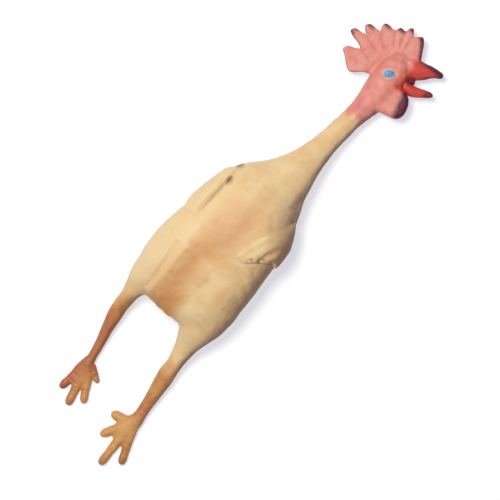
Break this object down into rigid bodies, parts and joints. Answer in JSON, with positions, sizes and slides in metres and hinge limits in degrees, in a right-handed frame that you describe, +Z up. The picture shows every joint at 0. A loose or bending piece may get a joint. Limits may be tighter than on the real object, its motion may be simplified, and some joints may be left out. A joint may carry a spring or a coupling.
{
  "type": "rubber chicken",
  "caption": "Floppy moulded-latex plucked chicken prop with a stuffed body, long thin neck, comb, open beak, folded wings and dangling legs",
  "frame": {"origin": "on the table, under the middle of the outline seen from above", "axes": "+Y towards the head, +Z up from the table through the belly, +X to the chicken's left when it lies on its back with the head away from the viewer"},
  "size_m": [0.13, 0.536, 0.082],
  "materials": {
    "latex_skin": "dry, slightly waxy moulded latex, plucked-skin yellow",
    "latex_legs": "dry, slightly waxy moulded latex, airbrushed orange-brown",
    "latex_red": "dry, slightly waxy moulded latex, airbrushed salmon red",
    "latex_beak": "dry, slightly waxy moulded latex, airbrushed bright red",
    "latex_plug": "unpainted poured latex",
    "eye_paint": "matt blue paint on latex",
    "foam_crumb": "crumbed upholstery foam"
  },
  "bodies": {
    "torso": {"torso_skin": "latex_skin", "torso_stuffing": "foam_crumb", "vent_plug": "latex_plug"},
    "left_wing": {"left_wing": "latex_skin"},
    "right_wing": {"right_wing": "latex_skin"},
    "neck_lower": {"neck_lower_skin": "latex_skin", "neck_lower_stuffing": "foam_crumb"},
    "neck_middle": {"neck_middle_skin": "latex_skin", "neck_middle_stuffing": "foam_crumb"},
    "neck_upper": {"neck_upper_skin": "latex_skin", "neck_upper_stuffing": "foam_crumb"},
    "head": {"head_skin": "latex_red", "head_stuffing": "foam_crumb", "comb": "latex_red", "upper_beak": "latex_beak", "left_wattle": "latex_red", "right_wattle": "latex_red", "left_eye": "eye_paint", "right_eye": "eye_paint"},
    "jaw": {"lower_beak": "latex_beak"},
    "left_thigh": {"left_thigh_skin": "latex_skin", "left_thigh_stuffing": "foam_crumb"},
    "left_drumstick": {"left_drumstick_skin": "latex_legs", "left_drumstick_stuffing": "foam_crumb"},
    "left_shank": {"left_shank": "latex_legs"},
    "left_foot": {"left_foot": "latex_legs"},
    "right_thigh": {"right_thigh_skin": "latex_skin", "right_thigh_stuffing": "foam_crumb"},
    "right_drumstick": {"right_drumstick_skin": "latex_legs", "right_drumstick_stuffing": "foam_crumb"},
    "right_shank": {"right_shank": "latex_legs"},
    "right_foot": {"right_foot": "latex_legs"}
  },
  "joints": [
    {"name": "neck_base", "type": "hinge", "parent": "torso", "child": "neck_lower", "pos_m": [0.0011, 0.081, 0.0322], "axis": [0, 0, 1], "range_deg": [-30, 30], "stiffness_Nm_per_rad": 0.25},
    {"name": "neck_middle", "type": "hinge", "parent": "neck_lower", "child": "neck_middle", "pos_m": [0.0046, 0.108, 0.0266], "axis": [1, 0, 0], "range_deg": [-35, 35], "stiffness_Nm_per_rad": 0.12},
    {"name": "neck_upper", "type": "hinge", "parent": "neck_middle", "child": "neck_upper", "pos_m": [0.0067, 0.132, 0.0215], "axis": [0, 0, 1], "range_deg": [-35, 35], "stiffness_Nm_per_rad": 0.08},
    {"name": "head_nod", "type": "hinge", "parent": "neck_upper", "child": "head", "pos_m": [0.0088, 0.157, 0.0182], "axis": [1, 0, 0], "range_deg": [-35, 35], "stiffness_Nm_per_rad": 0.08},
    {"name": "beak_squeeze", "type": "hinge", "parent": "head", "child": "jaw", "pos_m": [0.026, 0.222, 0.0175], "axis": [0, 0, 1], "range_deg": [0, 20], "stiffness_Nm_per_rad": 0.01},
    {"name": "left_wing_lift", "type": "hinge", "parent": "torso", "child": "left_wing", "pos_m": [-0.0542, 0.017, 0.034], "axis": [-0.2121, -0.9773, 0], "range_deg": [0, 25], "stiffness_Nm_per_rad": 0.03},
    {"name": "right_wing_lift", "type": "hinge", "parent": "torso", "child": "right_wing", "pos_m": [0.0446, 0.014, 0.034], "axis": [-0.2341, 0.9722, 0], "range_deg": [0, 25], "stiffness_Nm_per_rad": 0.03},
    {"name": "left_hip_splay", "type": "hinge", "parent": "torso", "child": "left_thigh", "pos_m": [-0.042, -0.088, 0.031], "axis": [0, 0, 1], "range_deg": [-40, 5], "stiffness_Nm_per_rad": 0.25},
    {"name": "left_knee_bend", "type": "hinge", "parent": "left_thigh", "child": "left_drumstick", "pos_m": [-0.0431, -0.123, 0.02], "axis": [1, 0, 0], "range_deg": [-45, 35], "stiffness_Nm_per_rad": 0.12},
    {"name": "left_hock_bend", "type": "hinge", "parent": "left_drumstick", "child": "left_shank", "pos_m": [-0.0403, -0.15, 0.0125], "axis": [1, 0, 0], "range_deg": [-45, 45], "stiffness_Nm_per_rad": 0.05},
    {"name": "left_ankle_bend", "type": "hinge", "parent": "left_shank", "child": "left_foot", "pos_m": [-0.0302, -0.194, 0.0075], "axis": [1, 0, 0], "range_deg": [-50, 50], "stiffness_Nm_per_rad": 0.02},
    {"name": "right_hip_splay", "type": "hinge", "parent": "torso", "child": "right_thigh", "pos_m": [0.032, -0.092, 0.031], "axis": [0, 0, 1], "range_deg": [-5, 40], "stiffness_Nm_per_rad": 0.25},
    {"name": "right_knee_bend", "type": "hinge", "parent": "right_thigh", "child": "right_drumstick", "pos_m": [0.0348, -0.133, 0.0194], "axis": [1, 0, 0], "range_deg": [-45, 35], "stiffness_Nm_per_rad": 0.12},
    {"name": "right_hock_bend", "type": "hinge", "parent": "right_drumstick", "child": "right_shank", "pos_m": [0.0381, -0.161, 0.013], "axis": [1, 0, 0], "range_deg": [-45, 45], "stiffness_Nm_per_rad": 0.05},
    {"name": "right_ankle_bend", "type": "hinge", "parent": "right_shank", "child": "right_foot", "pos_m": [0.0446, -0.206, 0.008], "axis": [1, 0, 0], "range_deg": [-50, 50], "stiffness_Nm_per_rad": 0.02}
  ]
}
